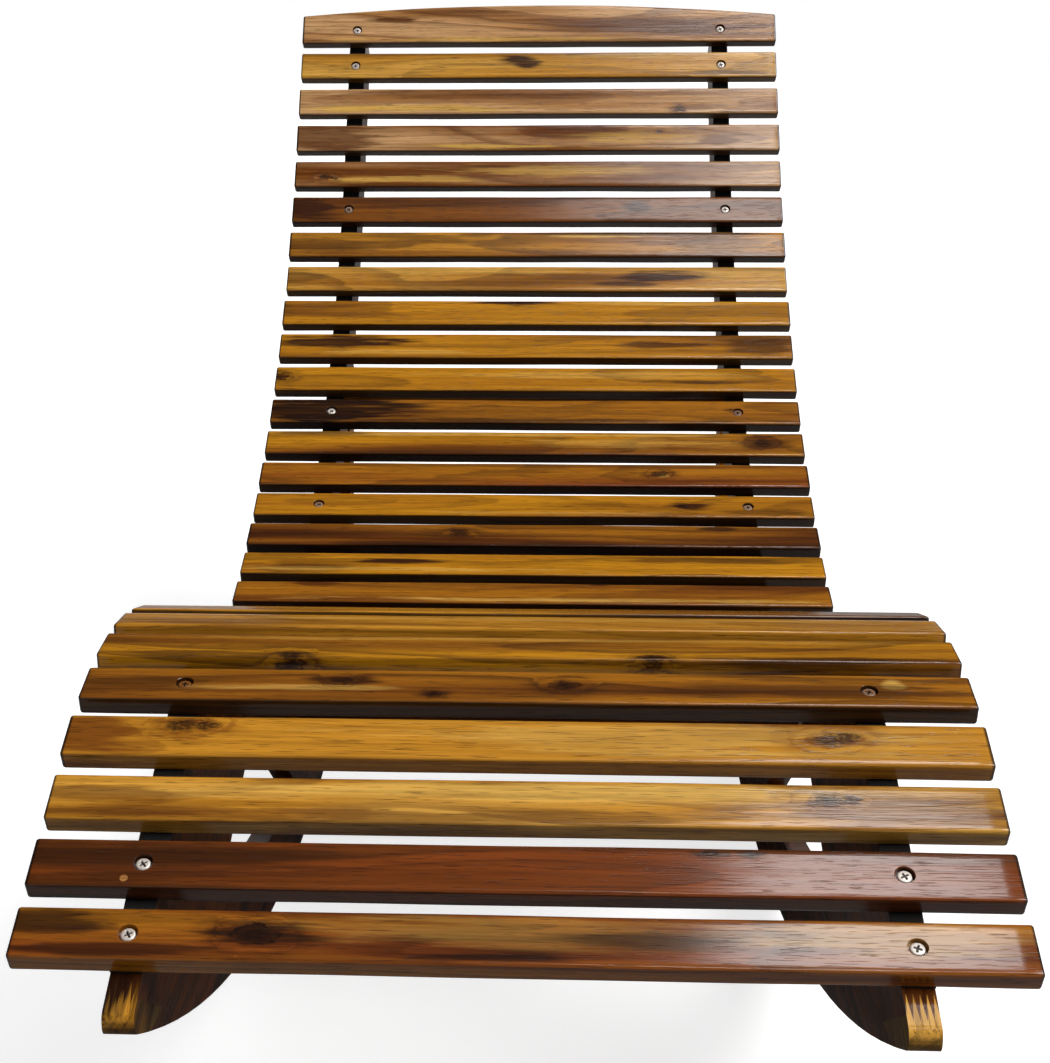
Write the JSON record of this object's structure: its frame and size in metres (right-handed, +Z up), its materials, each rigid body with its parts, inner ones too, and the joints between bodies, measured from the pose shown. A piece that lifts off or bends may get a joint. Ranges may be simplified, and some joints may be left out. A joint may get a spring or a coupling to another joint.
{
  "type": "rocking chaise lounge",
  "caption": "Rocking chaise lounge: an S-shaped mat of wooden slats on two straps, carried by two side frames that stand on long arc-shaped rockers.",
  "frame": {"origin": "middle of the bounding box, on the floor", "axes": "+X across the lounge to the right seen from the foot, +Y from the foot to the head, +Z up"},
  "size_m": [0.6, 1.5058, 0.7955],
  "materials": {
    "slat_wood": "oiled, satin",
    "frame_wood": "oiled, satin",
    "dowel_wood": "plain",
    "webbing": "woven",
    "steel": "zinc plated"
  },
  "bodies": {
    "root": {"slat_01": "slat_wood", "slat_02": "slat_wood", "slat_03": "slat_wood", "slat_04": "slat_wood", "slat_05": "slat_wood", "slat_06": "slat_wood", "slat_07": "slat_wood", "slat_08": "slat_wood", "slat_09": "slat_wood", "slat_10": "slat_wood", "slat_11": "slat_wood", "slat_12": "slat_wood", "slat_13": "slat_wood", "slat_14": "slat_wood", "slat_15": "slat_wood", "slat_16": "slat_wood", "slat_17": "slat_wood", "slat_18": "slat_wood", "slat_19": "slat_wood", "slat_20": "slat_wood", "slat_21": "slat_wood", "slat_22": "slat_wood", "slat_23": "slat_wood", "slat_24": "slat_wood", "slat_25": "slat_wood", "slat_26": "slat_wood", "slat_27": "slat_wood", "slat_28": "slat_wood", "slat_29": "slat_wood", "slat_30": "slat_wood", "slat_31": "slat_wood", "slat_32": "slat_wood", "slat_33": "slat_wood", "slat_34": "slat_wood", "toe_block_left": "frame_wood", "foot_board_left": "frame_wood", "seat_rail_left": "frame_wood", "back_rail_left": "frame_wood", "rocker_left": "frame_wood", "strut_left": "frame_wood", "toe_block_right": "frame_wood", "foot_board_right": "frame_wood", "seat_rail_right": "frame_wood", "back_rail_right": "frame_wood", "rocker_right": "frame_wood", "strut_right": "frame_wood", "knee_stretcher": "frame_wood", "seat_stretcher": "frame_wood", "back_stretcher": "frame_wood", "rear_stretcher": "frame_wood", "strap_left": "webbing", "strap_right": "webbing", "slat_screws": "steel", "strap_staples": "steel", "stretcher_bolts": "steel", "landing_bolts": "steel", "barrel_nuts": "steel", "frame_dowels": "dowel_wood", "wood_plug": "dowel_wood"}
  },
  "joints": []
}
